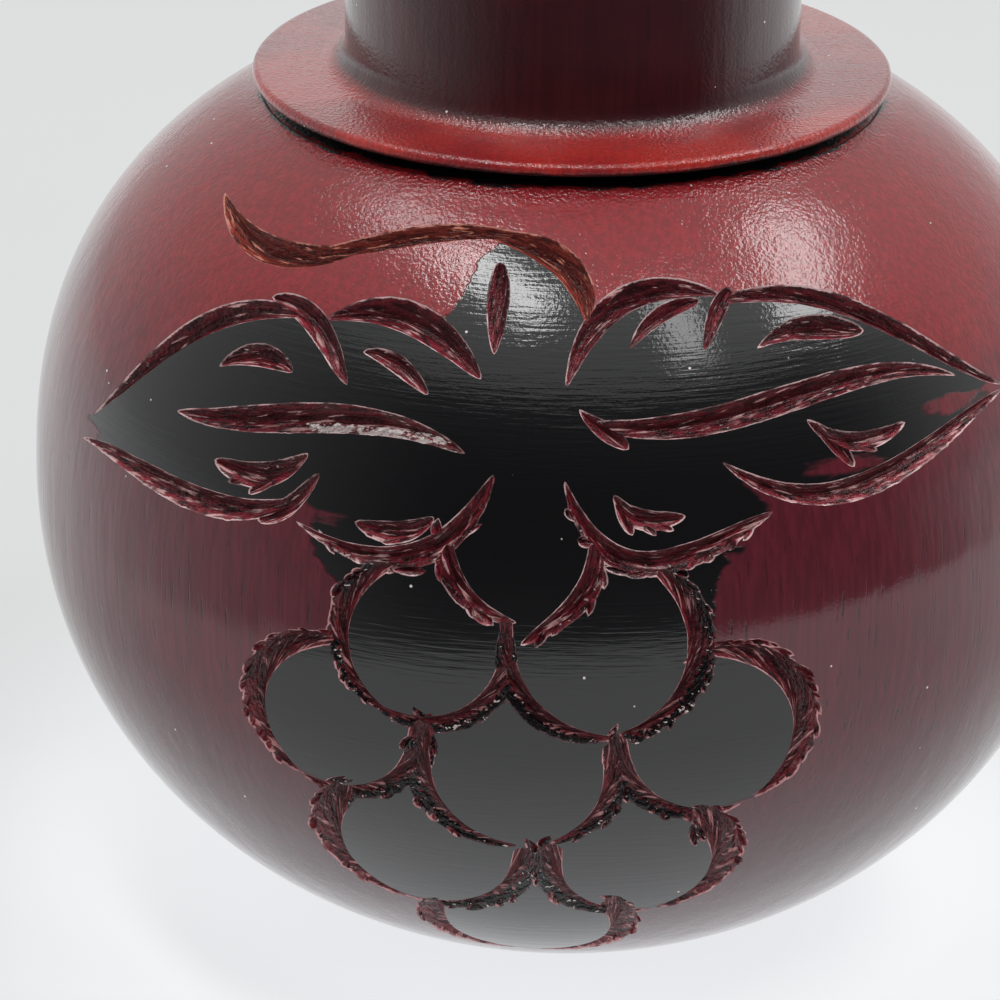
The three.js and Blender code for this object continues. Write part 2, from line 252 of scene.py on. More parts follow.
fanStroke = dict(turn=(-5, 5), start=(0, 0.45), length=(0.4, 0.75), bow=(-0.2, 0.2), width=(0.8, 1.3),
                 swell=0.55)


def onBody(across, up):
    turn = math.radians(math.hypot(across, up))
    heading = math.atan2(up, across)
    x, y = math.sin(turn) * math.cos(heading), -math.cos(turn)
    z = math.sin(turn) * math.sin(heading)
    reach = bottle["crownRise" if z > 0 else "baseDrop"]
    fullness = bottle["crownFullness" if z > 0 else "baseFullness"]
    level = math.hypot(x, y) / bottle["radius"]
    far = (level ** fullness + (abs(z) / reach) ** fullness) ** (-1 / fullness)
    return Vector((x * far, y * far, z * far + middle))


def outwards(place):
    z = place.z - middle
    reach = bottle["crownRise" if z > 0 else "baseDrop"]
    fullness = bottle["crownFullness" if z > 0 else "baseFullness"]
    r = math.hypot(place.x, place.y)
    level = (r / bottle["radius"]) ** (fullness - 1) / bottle["radius"]
    height = math.copysign((abs(z) / reach) ** (fullness - 1) / reach, z)
    return Vector((level * place.x / r, level * place.y / r, height)).normalized()


def bowedLine(start, end, bow):
    start, end = Vector(start), Vector(end)
    third = (end - start) / 3
    left = third.orthogonal().normalized()
    early, late = start + third + left * bow[0], end - third + left * bow[1]

    def at(t):
        s = 1 - t
        return start * s ** 3 + early * (3 * s * s * t) + late * (3 * s * t * t) + end * t ** 3
    return at


def grapeLine(centre, radius, first, last):
    def at(t):
        angle = math.radians(first + (last - first) * t)
        return Vector(centre) + Vector((math.cos(angle), math.sin(angle))) * radius
    return at


def alongLine(line, count, deepest, swell):
    # place, outward and sideways directions, depth and distance along at even steps of a cut
    places = [onBody(*line(i / count)) for i in range(count + 1)]
    power = math.log(0.5) / math.log(swell)
    stations, far = [], 0
    for i, place in enumerate(places):
        before, after = places[max(i - 1, 0)], places[min(i + 1, count)]
        normal = outwards(place)
        side = normal.cross(after - before).normalized()
        wave = math.sin(math.pi * (i / count) ** power) ** gouge["taper"]
        depth = deepest * ((1 + gouge["runOut"]) * wave - gouge["runOut"])
        far += (place - before).length
        stations.append((place, normal, side, depth, far))
    return stations


def barBetween(points, count):
    # a bar of unit radius and height, cut into lengths, for the cutters to be shaped from
    bm = bmesh.new()
    bm.loops.layers.uv.new("way")
    bmesh.ops.create_cone(bm, cap_ends=True, segments=points, radius1=1, radius2=1, depth=1)
    upright = [e for e in bm.edges if abs(e.verts[0].co.z - e.verts[1].co.z) > 0.5]
    bmesh.ops.subdivide_edges(bm, edges=upright, cuts=count - 1, use_grid_fill=True)
    return bm


def cutter(line, width, swell, rag, finish, shelf, points=gouge["points"], count=None, torn=False):
    g = gouge
    slope = math.tan(math.radians(g["angle"] / 2))
    steps = g["measureSteps"]
    measured = [onBody(*line(i / steps)) for i in range(steps + 1)]
    length = sum((after - before).length for before, after in zip(measured, measured[1:]))
    count = count or max(g["fewest"], round(length / g["step"]))
    stations = alongLine(line, count, width / 2 / slope, swell)
    seed = random.uniform(0, g["seedReach"])
    bm = barBetween(points, count)
    where = {}
    for vert in bm.verts:
        spoke = round(math.atan2(-vert.co.x, vert.co.y) / math.tau * points) % points
        share = 2 * spoke / (points - 1) - 1
        place, normal, side, depth, far = stations[round((vert.co.z + 0.5) * count)]
        reach = g["rise"] + depth
        low = (math.hypot(share, g["bottom"]) - g["bottom"]) / (1 - g["bottom"])
        sunk = reach * (1 - min(low, 1))
        toRag = share * math.copysign(1, rag or 1)
        ragged = min(max((toRag - g["raggedFrom"]) / g["raggedOver"], 0), 1) * abs(rag)
        bite = sum(size * noise.noise(Vector((far * pace, share * across, seed + shift)))
                   for size, pace, across, shift in g["bites"])
        tear = g["tear"] * ragged * bite
        ridge = g["ridge"] * noise.noise(Vector((far * g["ridgePace"], share * g["ridgeCount"], seed)))
        out = share * reach * slope
        out += g["wander"] * noise.noise(Vector((far * g["wanderPace"], share, seed)))
        out += math.copysign(tear, rag) if rag else 0
        lift = g["rise"] - sunk + ridge * min(1, reach) + g["tearLift"] * tear
        vert.co = place + side * out + normal * lift
        where[vert] = (far + seed, g["tornShare"] * (1 + share) if torn else toRag)
    layer = bm.loops.layers.uv["way"]
    for face in bm.faces:
        face.material_index = finish
        for loop in face.loops:
            loop[layer].uv = where[loop.vert]
    asObject(bm, "cutter", finishes, shelf)
    return stations, slope


def featherEdge(stations, slope, rag, density, longer, finish, shelf):
    # strokes from inside a cut out over its ragged edge, where the grain tore
    s = stroke
    distances = [station[-1] for station in stations]
    count = len(stations) - 1
    at = s["spacing"]
    while at < distances[-1] - s["spacing"]:
        index = min(range(count + 1), key=lambda i: abs(distances[i] - at))
        place, _, side, depth, _ = stations[index]
        if depth > s["shallowest"]:
            ahead = (stations[min(index + 1, count)][0] - stations[index - 1][0]).normalized()
            outer = side * math.copysign(1, rag)
            slant = math.radians(s["slant"] * random.uniform(*s["slantSpread"]))
            heading = ahead * math.cos(slant) + outer * math.sin(slant)
            long = s["length"] * longer * random.uniform(*s["lengthSpread"])
            tip = place + outer * (depth * slope + s["overshoot"] * random.uniform(*s["overshootSpread"]))
            past = heading * long * s["past"]
            strokeCut(tip + past - heading * long, tip + past, finish, shelf)
        at += s["spacing"] / density * random.uniform(*s["spacingSpread"])


def fanOut(start, heading, spread, length, count, finish, shelf):
    f = fanStroke
    for i in range(count):
        turn = math.radians(heading + spread * (2 * i / (count - 1) - 1) + random.uniform(*f["turn"]))
        way = Vector((math.cos(turn), math.sin(turn)))
        first = Vector(start) + way * random.uniform(*f["start"]) * length
        last = first + way * random.uniform(*f["length"]) * length
        line = bowedLine(first, last, (random.uniform(*f["bow"]), 0))
        cutter(line, stroke["width"] * random.uniform(*f["width"]), f["swell"], 0, finish, shelf,
               stroke["points"], stroke["stations"], torn=True)


def degreesAt(place):
    ray = (place - Vector((0, 0, middle))).normalized()
    turn = math.degrees(math.acos(max(-1, min(1, -ray.y))))
    flat = math.hypot(ray.x, ray.z)
    return Vector((ray.x / flat * turn, ray.z / flat * turn))


def strokeCut(start, end, finish, shelf):
    line = bowedLine(degreesAt(start), degreesAt(end), (0, 0))
    cutter(line, stroke["width"] * random.uniform(*stroke["widthSpread"]), stroke["swell"], 0, finish, shelf,
           stroke["points"], stroke["stations"], torn=True)


def carve(body):
    shelf = bpy.data.collections.new("cutters")
    bpy.context.scene.collection.children.link(shelf)
    rows = [(bowedLine(start, end, bow), width, swell, rag, tendrilWood, 0, 1)
            for start, end, bow, width, swell, rag in tendrilCuts]
    for start, end, bow, width, swell, rag in leafCuts:
        dense = stroke["leafShare"] if abs(rag) == 1 else 0
        rows.append((bowedLine(start, end, bow), width, swell, rag, leafWood, dense, stroke["leafLength"]))
    for centre, radius, arcs in grapes:
        for first, last, width, swell, dense in arcs:
            rag = 1 if last < first else -1
            rows.append((grapeLine(centre, radius, first, last), width, swell, rag, grapeWood, dense, 1))
    for line, width, swell, rag, finish, dense, longer in rows:
        stations, slope = cutter(line, width, swell, rag, finish, shelf)
        if dense:
            featherEdge(stations, slope, rag, dense, longer, finish, shelf)
    for fan in fans:
        fanOut(*fan, grapeWood, shelf)
    cut = body.modifiers.new("carving", "BOOLEAN")
    cut.operation = "DIFFERENCE"
    cut.solver = "MANIFOLD"
    cut.operand_type = "COLLECTION"
    cut.collection = shelf
    cut.material_mode = "INDEX"
    graph = bpy.context.evaluated_depsgraph_get()
    carved = bpy.data.meshes.new_from_object(body.evaluated_get(graph))
    body.modifiers.clear()
    for made in list(shelf.objects):
        mesh = made.data
        bpy.data.objects.remove(made)
        bpy.data.meshes.remove(mesh)
    bpy.data.collections.remove(shelf)
    plain = body.data
    body.data = carved
    bpy.data.meshes.remove(plain)
    carved.name = "gourdBottle"


# The black paint: one outline along the leaves' edges, the grapes, and where the brush strayed

paint = dict(
    grapeMargin=-0.4,
    edges=[  # stretches of cuts, found by where they start, and free stretches between them
        (leafCuts, (-60.7, 17.2), 0, 1), (leafCuts, (-26.8, 34.5), 0, 0.62),
        [(-12.6, 36.5), (-11.3, 38.9), (-10.3, 42.2)],  # over the crown
        (tendrilCuts, (-10.5, 45.8), 0.15, 0.95), (leafCuts, (16.9, 38.6), 0.7, 0),
        (leafCuts, (16.8, 37.8), 0, 1), (leafCuts, (53.4, 24.5), 0, 1), (leafCuts, (21.4, 15.9), 0, 0.35),
        [(18.6, 12.6), (15.4, 9.7), (14.9, 3.3), (4.1, 2.4)],  # where the brush strayed on the right
        [(-14.2, 2), (-21.7, 5.8), (-23.9, 8.1), (-25.7, 10)],  # and on the left
        (leafCuts, (-62.2, 14.4), 1, 0),
    ],
    scrapedAt=(-20.5, 23.1), scrapedSize=(10.5, 1),  # where the left leaf's middle rib is scraped pale
    bare=[((44.5, 24.2), (4.5, 1)), ((29, 19.6), (4.2, 0.9)), ((-24.4, 14.1), (2, 0.6)),
          ((-61.3, 15.8), (3.6, 1.6)), ((53.5, 24.7), (4, 1.6))],
    reach=75, far=20,  # no paint lies further round than this turn, and what is behind is this far off
    samples=12, outerGrapes=(0, 1, 3, 6, 7, 5, 2),  # in order around the bunch
)


def paintOutline():
    points = []
    for edge in paint["edges"]:
        if isinstance(edge, list):
            points += edge
            continue
        rows, start, first, last = edge
        line = bowedLine(*next(row for row in rows if row[0] == start)[:3])
        shares = [first + (last - first) * i / paint["samples"] for i in range(paint["samples"] + 1)]
        points += [tuple(line(share)) for share in shares]
    return points


def distanceToOutline(places, corners):
    # signed distance in the plane, under zero inside
    nearest = np.full(len(places), np.inf)
    inside = np.zeros(len(places), bool)
    ends = np.array(corners + corners[:1])
    for a, b in zip(ends, ends[1:]):
        way = b - a
        share = np.clip(((places - a) @ way) / max(way @ way, tiny), 0, 1)
        nearest = np.minimum(nearest, np.linalg.norm(places - a - share[:, None] * way, axis=1))
        rises = (a[1] > places[:, 1]) != (b[1] > places[:, 1])
        cross = a[0] + (places[:, 1] - a[1]) * way[0] / (way[1] or tiny)
        inside ^= rises & (places[:, 0] < cross)
    return np.where(inside, -nearest, nearest)


def placesOf(points):
    # degrees across and up, and the whole turn away from the middle of the front
    ray = points - [0, 0, middle]
    ray /= np.linalg.norm(ray, axis=1)[:, None]
    turn = np.degrees(np.arccos(np.clip(-ray[:, 1], -1, 1)))
    flat = np.maximum(np.hypot(ray[:, 0], ray[:, 2]), tiny)
    return np.stack([ray[:, 0] / flat * turn, ray[:, 2] / flat * turn], axis=1), turn


def paintDistance(points):
    # millimetres from the edge of the black paint, under zero where it is
    places, turn = placesOf(points)
    bunch = [grapes[i][0] for i in paint["outerGrapes"]]
    away = np.minimum(distanceToOutline(places, paintOutline()), distanceToOutline(places, bunch))
    for centre, radius, _ in grapes:
        ring = np.linalg.norm(places - centre, axis=1) - radius - paint["grapeMargin"]
        away = np.minimum(away, ring)
    for centre, size in paint["bare"]:
        patch = (1 - np.linalg.norm((places - centre) / size, axis=1)) * min(size)
        away = np.maximum(away, patch)
    away *= math.radians(bottle["radius"])
    away[(turn > paint["reach"]) | (np.linalg.norm(points[:, :2], axis=1) < shoulderLip)] = paint["far"]
    return away


def depthUnder(points):
    # millimetres under the turned surface of the body
    z = points[:, 2] - middle
    reach = np.where(z > 0, bottle["crownRise"], bottle["baseDrop"])
    fullness = np.where(z > 0, bottle["crownFullness"], bottle["baseFullness"])
    r = np.linalg.norm(points[:, :2], axis=1)
    size = (r / bottle["radius"]) ** fullness + (np.abs(z) / reach) ** fullness
    return (1 - size ** (1 / fullness)) * np.hypot(r, z)


def surfaceNormals(points):
    z = points[:, 2] - middle
    reach = np.where(z > 0, bottle["crownRise"], bottle["baseDrop"])
    power = np.where(z > 0, bottle["crownFullness"], bottle["baseFullness"]) - 1
    r = np.maximum(np.linalg.norm(points[:, :2], axis=1), tiny)
    level = (r / bottle["radius"]) ** power / bottle["radius"]
    height = np.sign(z) * (np.abs(z) / reach) ** power / reach
    normals = np.stack([level * points[:, 0] / r, level * points[:, 1] / r, height], axis=1)
    return normals / np.linalg.norm(normals, axis=1)[:, None]


def read(collection, field, size, kind=float):
    values = np.empty(len(collection) * size, kind)
    collection.foreach_get(field, values)
    return values.reshape(-1, size) if size > 1 else values


shading = dict(
    wallShare=0.6, floorClear=2, boreClear=0.05,  # what counts as the inside of the bottle
    sharpAngle=38, skinDepth=0.02, lipClear=0.05, footClear=0.6,
)


def finishMesh(piece):
    s = shading
    mesh = piece.data
    points = read(mesh.vertices, "co", 3)
    depth = depthUnder(points)
    scraped = 1 - np.linalg.norm((placesOf(points)[0] - paint["scrapedAt"]) / paint["scrapedSize"], axis=1)
    for name, values in (("paint", paintDistance(points)), ("depth", depth), ("scraped", scraped)):
        layer = mesh.attributes.new(name, "FLOAT", "POINT")
        layer.data.foreach_set("value", values.astype(np.float32))

    # the inside of the bottle gets its own finish
    centres = read(mesh.polygons, "center", 3)
    finish = read(mesh.polygons, "material_index", 1, np.int32)
    r = np.linalg.norm(centres[:, :2], axis=1)
    inBody = (depthUnder(centres) > bottle["wall"] * s["wallShare"]) & (centres[:, 2] > s["floorClear"])
    inNeck = (r < boreRadius + s["boreClear"]) & (centres[:, 2] > shoulderTop)
    inBody &= centres[:, 2] < shoulderTop
    finish[inBody | inNeck] = insideWood
    mesh.polygons.foreach_set("material_index", finish)
    # how far each face tilts up from the body's surface, which the cuts use to paint shade and light
    facing = read(mesh.polygons, "normal", 3)[:, 2] - surfaceNormals(centres)[:, 2]
    mesh.attributes.new("lean", "FLOAT", "FACE").data.foreach_set("value", facing.astype(np.float32))
    print("faces of each finish", np.bincount(finish))

    # the lacquered body keeps the turned shape's own shading up to the edge of every cut
    mesh.polygons.foreach_set("use_smooth", np.ones(len(mesh.polygons), bool))
    mesh.set_sharp_from_angle(angle=math.radians(s["sharpAngle"]))
    mesh.update()
    normals = np.array([n.vector[:] for n in mesh.corner_normals])
    corners = read(mesh.loops, "vertex_index", 1, np.int32)
    sizes = read(mesh.polygons, "loop_total", 1, np.int32)
    onSkin = np.repeat(finish == skin, sizes)
    onSkin &= (np.abs(depth[corners]) < s["skinDepth"]) & (points[corners, 2] > s["footClear"])
    onSkin &= points[corners, 2] < shoulderTop - s["lipClear"]
    normals[onSkin] = surfaceNormals(points[corners[onSkin]])
    mesh.normals_split_custom_set(normals.tolist())
    mesh.transform(Matrix.Scale(mm, 4))


# Finishes. Sizes and heights are in millimetres, and a row of limits says where a change starts and
# where it is full, then how strong it is at each.

smooth = dict(interpolation_type="SMOOTHSTEP")
colours = dict(data_type="RGBA")
firstColour, lastColour, mixedColour = 6, 7, 2  # the places of a Mix node's colour sockets
noiseMiddle = 0.5
times, plus, most = (dict(operation=way) for way in ("MULTIPLY", "ADD", "MAXIMUM"))


def linear(code):
    parts = [int(code[i:i + 2], 16) / 255 for i in (1, 3, 5)]
    return [c / 12.92 if c <= 0.04045 else ((c + 0.055) / 1.055) ** 2.4 for c in parts] + [1]


def setInputs(tree, node, inputs):
    # inputs come by name or in their order, each a value or another node's socket
    for name, value in inputs.items() if isinstance(inputs, dict) else enumerate(inputs):
        if isinstance(value, bpy.types.NodeSocket):
            tree.links.new(value, node.inputs[name])
        else:
            node.inputs[name].default_value = value


def addNode(tree, kind, inputs=(), output=0, **settings):
    made = tree.nodes.new("ShaderNode" + kind)
    for name, value in settings.items():
        setattr(made, name, value)
    setInputs(tree, made, inputs)
    return made.outputs[output]


def newFinish(name):
    finish = bpy.data.materials.new(name)
    finish.use_nodes = True
    tree = finish.node_tree
    where = addNode(tree, "TexCoord", output="Object")
    return finish, tree, tree.nodes["Principled BSDF"], where


def streaks(tree, where, sizes, detail=2, rough=0.5):
    # noise whose marks measure the given sizes along x, y and z
    stretched = addNode(tree, "Mapping", {"Vector": where, "Scale": [1 / (size * mm) for size in sizes]})
    return addNode(tree, "TexNoise", {"Vector": stretched, "Scale": 1, "Detail": detail,
                                      "Roughness": rough})


def layered(tree, base, layers):
    # each colour laid over what is below it, by its share
    for share, colour in layers:
        base = addNode(tree, "Mix", {0: share, firstColour: base, lastColour: colour},
                       mixedColour, **colours)
    return base


def relief(tree, layers):
    # one bump from several patterns, each with its height
    total = 0
    for pattern, height in layers:
        total = addNode(tree, "Math", (pattern, height, total), operation="MULTIPLY_ADD")
    return addNode(tree, "Bump", {"Strength": 1, "Distance": mm, "Height": total})


lacquer = dict(
    red="#88131a", thin="#a8231a", maroon="#5a1524", low="#42101e", dark="#1c0913",
    # black is the paint's colour, and it also paints the shade in the groove under the collar
    # the dust colour also paints the glints in the cuts, which are painted highlights
    black="#0b0b0e", pore="#1a0508", dustAndGlint="#d8c9c4",
    specular=0.2, roughness=0.45, coat=1, coatRoughness=0.06,
    patterns=dict(
        cloud=((24, 24, 13), 3), grain=((0.6, 0.6, 14), 3), pores=((0.35, 0.35, 4.5), 2),
        waves=((3.4, 3.4, 11), 2), brushed=((3.2, 3.2, 0.8), 3), brushMarks=((7, 7, 0.35), 3),
        peel=((0.4, 0.4, 0.4), 2),  # real orange peel is finer, and this is as fine as shows
    ),
    bands=dict(  # limits of the height above the foot
        redder=(62, 98, 0, 1), low=(48, 20, 0, 1), poreless=(75, 50, 0, 1),
        onCollar=(shoulderTop + 1, shoulderTop + 1.3, 0, 1),
        onNeck=(collarTop + 0.05, collarTop + 1.4, 0, 0.88),
        peel=(68, 86, 0.1, 1), lipPeel=(shoulderTop - 1.5, shoulderTop - 0.3, 0, 1.6),
        neckPeel=(collarTop + 0.5, collarTop + 2, 1, 0.25), brushed=(66, 84, 1, 2),
    ),
    redCloud=(0.5, 1.3, 0, 1), thinCloud=(0.42, 0.6, 0, 1), grain=(0.35, 0.7, 0.3, 0),
    pores=(0.62, 0.7, 0, 1), poreTint=0.7,
    # the black paint's edge, then where the painted shade in the groove under the collar starts and ends
    paintEdge=(0.3, -0.3, 0, 1), paintStray=1.4, grooveShadeStray=0.7,
    grooveShadeFrom=(shoulderTop - 0.08, shoulderTop + 0.08, 0, 1),
    grooveShadeTo=(shoulderTop + 2.2, shoulderTop + 1.7, 0, 1),
    peelOnPaint=(0, 1, 1, 0.35), grainOnPaint=(0, 1, 1, 0.15),
    speckSpacing=2.6, speckChosen=(0.86, 0.87, 0, 1), speckSize=(0.07, 0.045, 0, 1),
    heights=dict(grain=0.02, waves=0.09, brushMarks=0.022, peel=0.052, pores=-0.012, specks=0.08),
)


def tintedLacquer():
    # Tinted gloss lacquer brushed over turned wood: deep, wet-looking burgundy that thins to red towards the
    # shoulder, with a fine orange peel, upright grain and black paint in the carving. The black in the
    # groove under the collar is painted shade.
    c, heights = lacquer, lacquer["heights"]
    tone = {name: linear(value) for name, value in c.items() if str(value).startswith("#")}
    finish, tree, shader, where = newFinish("tintedLacquer")
    height = addNode(tree, "Math", (addNode(tree, "SeparateXYZ", (where,), "Z"), 1 / mm), **times)
    pattern = {name: streaks(tree, where, *row) for name, row in c["patterns"].items()}
    band = {name: addNode(tree, "MapRange", (height, *limits), **smooth)
            for name, limits in c["bands"].items()}
    redder = addNode(tree, "Math", (band["redder"], pattern["cloud"]), **plus)
    redder = addNode(tree, "MapRange", (redder, *c["redCloud"]), **smooth)
    thin = addNode(tree, "MapRange", (pattern["cloud"], *c["thinCloud"]), **smooth)
    thin = addNode(tree, "Math", (band["onCollar"], thin), **times)
    grain = addNode(tree, "MapRange", (pattern["grain"], *c["grain"]), **smooth)
    pores = addNode(tree, "MapRange", (pattern["pores"], *c["pores"]), **smooth)
    pores = addNode(tree, "Math", (pores, band["poreless"]), **times)
    darkPores = addNode(tree, "Math", (pores, c["poreTint"]), **times)

    # black paint where the carving is, and a black painted shade in the groove under the collar
    away = addNode(tree, "Attribute", output="Fac", attribute_name="paint")
    stray = addNode(tree, "Math", (pattern["brushed"], -noiseMiddle), **plus)
    edge = addNode(tree, "Math", (stray, c["paintStray"], away), operation="MULTIPLY_ADD")
    painted = addNode(tree, "MapRange", (edge, *c["paintEdge"]), **smooth)
    ragged = addNode(tree, "Math", (stray, c["grooveShadeStray"], height), operation="MULTIPLY_ADD")
    grooveShade = addNode(tree, "Math", [addNode(tree, "MapRange", (ragged, *c[end]), **smooth)
                                    for end in ("grooveShadeFrom", "grooveShadeTo")], **times)
    black = addNode(tree, "Math", (painted, grooveShade), **most)

    # dust specks that dried into the gloss
    specks = addNode(tree, "TexVoronoi", {"Vector": where, "Scale": 1 / (c["speckSpacing"] * mm)})
    split = addNode(tree, "SeparateColor", (specks.node.outputs["Color"],))
    chosen = addNode(tree, "MapRange", (split, *c["speckChosen"]), **smooth)
    dot = addNode(tree, "MapRange", (specks, *c["speckSize"]), **smooth)
    dustAndGlint = addNode(tree, "Math", (chosen, dot), **times)

    peel = addNode(tree, "Math", (band["peel"], band["lipPeel"]), **plus)
    onPaint = addNode(tree, "MapRange", (painted, *c["peelOnPaint"]), **smooth)
    for share in (band["neckPeel"], onPaint, pattern["peel"]):
        peel = addNode(tree, "Math", (peel, share), **times)
    brushMarks = addNode(tree, "Math", (painted, band["brushed"]), **times)
    brushMarks = addNode(tree, "Math", (pattern["brushMarks"], brushMarks), **times)
    bare = addNode(tree, "MapRange", (painted, *c["grainOnPaint"]), **smooth)
    raised = [(addNode(tree, "Math", (row, bare), **times), heights[name]) for name, row in
              (("grain", pattern["grain"]), ("waves", pattern["waves"]), ("pores", pores))]
    raised += [(brushMarks, heights["brushMarks"]), (peel, heights["peel"]), (dustAndGlint, heights["specks"])]
    normal = relief(tree, raised)
    setInputs(tree, shader, {
        "Base Color": layered(tree, tone["maroon"], [
            (redder, tone["red"]), (band["low"], tone["low"]), (thin, tone["thin"]),
            (band["onNeck"], tone["dark"]), (grain, tone["pore"]), (darkPores, tone["pore"]),
            (black, tone["black"]), (dustAndGlint, tone["dustAndGlint"])]),
        "Normal": normal, "Coat Normal": normal,
        "Specular IOR Level": c["specular"], "Roughness": c["roughness"],
        "Coat Weight": c["coat"], "Coat Roughness": c["coatRoughness"],
    })
    return finish


gouged = dict(
    patterns=dict(
        crumbs=((0.5, 0.5, 0.5), 3), patches=((2.2, 2.2, 2.2), 2),
        chips=((0.9, 0.9, 0.45), 4, 0.7), paintedGlints=((0.9, 0.9, 0.4), 3),
    ),
    fibreMarks=(0.4, 4, 0.65), fibreSlant=1 / 3, scratchMarks=(0.3, 4.2, 0.5), squeeze=1.3, detail=3,
    # deep and shaded are painted shade, deeper in the cut and on walls that face down; scuffed shifts walls
    # that face up towards pale, as painted light
    fibres=(0.4, 0.6, 0, 1), depthShade=(0.5, 1.5, 0, 0.5),
    shaded=(0.05, -0.4, 0, 0.6), upLitScratches=(-0.3, 0.5, -0.03, 0.03),
    bare=(0.57, 0.64, 0, 1), barePatches=(0.35, 0.6, 0, 1),
    scraped=(-0.1, 0.3, -0.4, 0.06), chips=(0.5, 0.58, 0, 1), scrapedColour="#e2d4d1",
    smear=0.9, smeared=(0.68, 0.8), paintNear=(0.8, 0.1, 0, 1), paintedGlints=(0.64, 0.68, 0, 1),
    # the pale rim is partly broken lacquer and partly a painted highlight along the edge
    rim=(0.2, 0.1, 0, 1), rimPatches=(0.36, 0.58, 0.1, 1), rimStray=0.3, paintOverRim=-0.85,
    fibreHeight=0.3, crumbHeight=0.22,
    roughness=(0, 1, 0.45, 0.25), specular=0.2, coat=0.5, coatRoughness=0.1,
)


def slanted(tree, way, slant, along, across, rough):
    # noise in strokes at an angle to the cut, with that many marks in a millimetre each way
    level = addNode(tree, "Mapping", {"Vector": way, "Scale": (1, gouged["squeeze"], 1),
                                      "Rotation": (0, 0, math.radians(slant))})
    pulled = addNode(tree, "Mapping", {"Vector": level, "Scale": (along, across, 1)})
    return addNode(tree, "TexNoise", {"Vector": pulled, "Scale": 1, "Detail": gouged["detail"],
                                      "Roughness": rough})


def gougedWood(name, dark, middleTone, pale, edge, paintShare, slant):
    # Stained wood opened by a V gouge and lacquered over: torn fibres along the cut, painted shade deeper in
    # the cut and on walls that face down, pale strokes that are partly painted light on walls that face up,
    # a pale rim at the edge that is partly broken lacquer and partly painted highlight, and black paint
    # smeared on the ragged side, with painted glints in it.
    g = gouged
    finish, tree, shader, where = newFinish(name)
    way = addNode(tree, "UVMap", uv_map="way")
    across = addNode(tree, "SeparateXYZ", (way,), "Y")
    depth, away, lean, scraped = (addNode(tree, "Attribute", output="Fac", attribute_name=field)
                                  for field in ("depth", "paint", "lean", "scraped"))
    pattern = {row: streaks(tree, where, *sizes) for row, sizes in g["patterns"].items()}
    fibres = slanted(tree, way, slant * g["fibreSlant"], *g["fibreMarks"])
    scratches = slanted(tree, way, slant, *g["scratchMarks"])

    # painted shade deeper in the cut and on walls that face down, and scratches that show pale more often on
    # walls that face up, as painted light
    mottled = addNode(tree, "MapRange", (fibres, *g["fibres"]), **smooth)
    depthShade = addNode(tree, "MapRange", (depth, *g["depthShade"]), **smooth)
    shaded = addNode(tree, "MapRange", (lean, *g["shaded"]), **smooth)
    upLitScratches = addNode(tree, "MapRange", (lean, *g["upLitScratches"]), **smooth)
    upLitScratches = addNode(tree, "Math", (scratches, upLitScratches), **plus)
    # pale strokes: partly bared fibres along the scratches, partly painted light on walls that face up
    bare = addNode(tree, "Math", (
        addNode(tree, "MapRange", (upLitScratches, *g["bare"]), **smooth),
        addNode(tree, "MapRange", (pattern["patches"], *g["barePatches"]), **smooth)), **times)
    scraped = addNode(tree, "MapRange", (scraped, *g["scraped"]), **smooth)
    scraped = addNode(tree, "Math", (scraped, pattern["chips"]), **plus)
    chipped = addNode(tree, "MapRange", (scraped, *g["chips"]), **smooth)

    # paint on the ragged side, where the brush reached it, with painted glints (highlights) in it, in the
    # dust colour
    smear = addNode(tree, "Math", (pattern["crumbs"], g["smear"], across), operation="MULTIPLY_ADD")
    painted = addNode(tree, "Math", (
        addNode(tree, "MapRange", (smear, *g["smeared"], 0, paintShare), **smooth),
        addNode(tree, "MapRange", (away, *g["paintNear"]), **smooth)), **times)
    paintedGlints = addNode(tree, "MapRange", (pattern["paintedGlints"], *g["paintedGlints"]), **smooth)
    paintedGlints = addNode(tree, "Math", (paintedGlints, painted), **times)

    # the pale rim of the cut: partly wood bared where the lacquer broke, partly a painted highlight along
    # the edge
    thin = addNode(tree, "Math", (pattern["crumbs"], -noiseMiddle), **plus)
    thin = addNode(tree, "Math", (thin, g["rimStray"], depth), operation="MULTIPLY_ADD")
    clean = addNode(tree, "Math", (painted, g["paintOverRim"], 1), operation="MULTIPLY_ADD")
    rim = addNode(tree, "Math", (
        addNode(tree, "MapRange", (thin, *g["rim"]), **smooth),
        addNode(tree, "MapRange", (pattern["patches"], *g["rimPatches"]), **smooth)), **times)
    rim = addNode(tree, "Math", (rim, clean), **times)

    normal = relief(tree, [(fibres, g["fibreHeight"]), (pattern["crumbs"], g["crumbHeight"])])
    setInputs(tree, shader, {
        "Base Color": layered(tree, linear(dark), [
            (mottled, linear(middleTone)), (depthShade, linear(dark)), (shaded, linear(dark)),
            (bare, linear(pale)), (chipped, linear(g["scrapedColour"])),
            (painted, linear(lacquer["black"])), (paintedGlints, linear(lacquer["dustAndGlint"])),
            (rim, linear(edge))]),
        "Normal": normal, "Coat Normal": normal,
        "Roughness": addNode(tree, "MapRange", (painted, *g["roughness"]), **smooth),
        "Specular IOR Level": g["specular"], "Coat Weight": g["coat"],
        "Coat Roughness": g["coatRoughness"],
    })
    return finish


turned = dict(
    dark="#3c1a14", pale="#5d2c20", grainSize=(1.2, 1.2, 18), grain=(0.3, 0.7, 0, 1),
    ringSize=(40, 40, 0.6), ringHeight=0.08, roughness=0.6,
)


